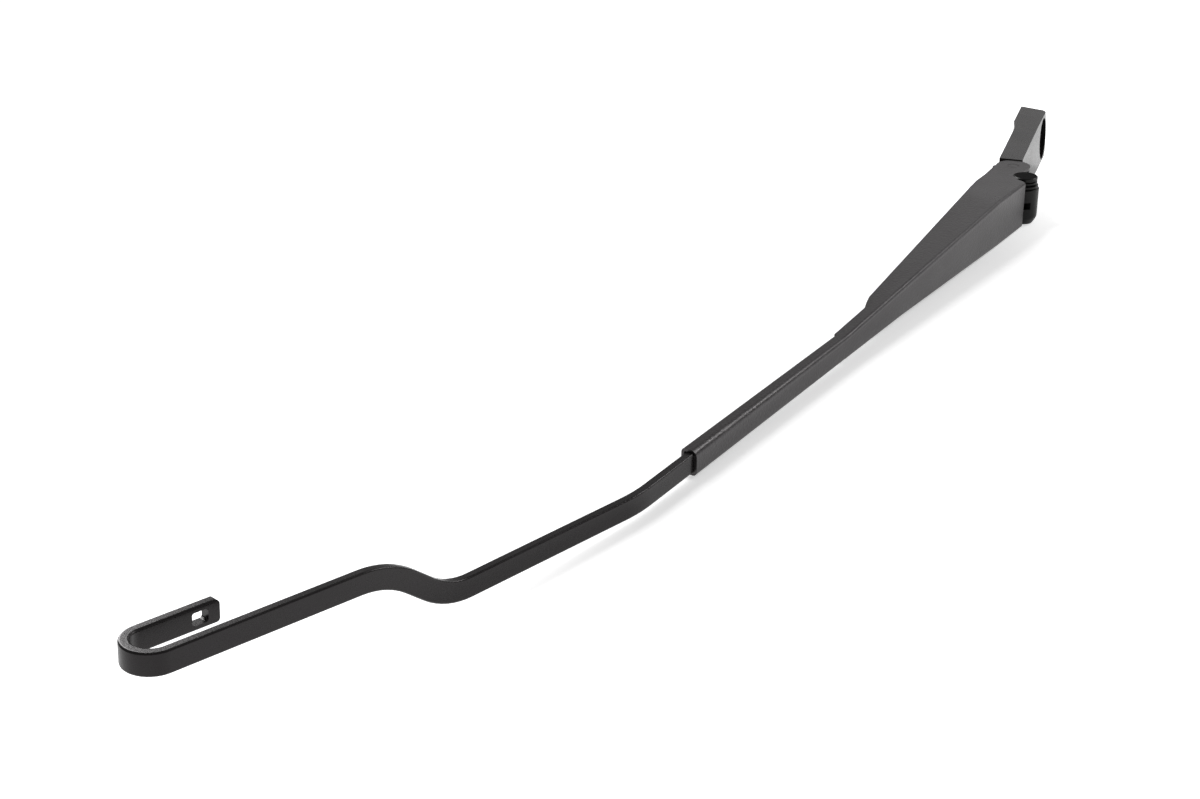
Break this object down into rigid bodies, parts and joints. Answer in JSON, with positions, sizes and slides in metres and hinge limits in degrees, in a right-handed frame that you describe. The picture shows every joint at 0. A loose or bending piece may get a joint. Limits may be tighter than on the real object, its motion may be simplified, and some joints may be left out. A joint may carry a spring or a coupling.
{
  "type": "windscreen wiper arm",
  "caption": "Black wiper arm for a windscreen, without a blade: cast mounting head, hinged pressed hood with a hidden tension spring, and a flat cranked bar that ends in a hook.",
  "frame": {"origin": "on the axis of the spindle bore, in the plane where the head's underside seats on the spindle", "axes": "+Z along the spindle axis, outwards from the windscreen; +X from the spindle towards the tip of the mounting head and the arm; the hinge pin lies along Y"},
  "size_m": [0.7331, 0.041, 0.2193],
  "materials": {
    "cast_metal_satin_black": "satin black coat over a sand-grained die casting",
    "sheet_satin_black": "satin black coat over pressed sheet steel",
    "bar_satin_black": "satin black coat over drawn flat steel",
    "black_plastic": "moulded black plastic, slightly glossy",
    "pin_steel": "plain turned steel, phosphated",
    "link_steel": "zinc-plated strip steel",
    "spring_steel": "oiled spring wire",
    "nylon": "natural nylon"
  },
  "bodies": {
    "head": {"mounting_head": "cast_metal_satin_black", "bush_near": "nylon", "bush_far": "nylon", "link_pin": "pin_steel"},
    "arm": {"hood": "sheet_satin_black", "arm_bar": "bar_satin_black", "hinge_pin": "pin_steel", "hinge_cover": "black_plastic"},
    "link": {"spring_link": "link_steel", "tension_spring": "spring_steel"}
  },
  "joints": [
    {"name": "arm_hinge", "type": "hinge", "parent": "head", "child": "arm", "pos_m": [0.095, 0, 0.0113], "axis": [0, -1, 0], "range_deg": [0, 80], "deforming": ["tension_spring"]},
    {"name": "link_hinge", "type": "hinge", "parent": "head", "child": "link", "pos_m": [0.09153, 0, 0.00387], "axis": [0, -1, 0], "range_deg": [0, 77.6]}
  ],
  "couplings": [
    {"joint": "link_hinge", "follows": "arm_hinge", "ratio": 0.97}
  ]
}
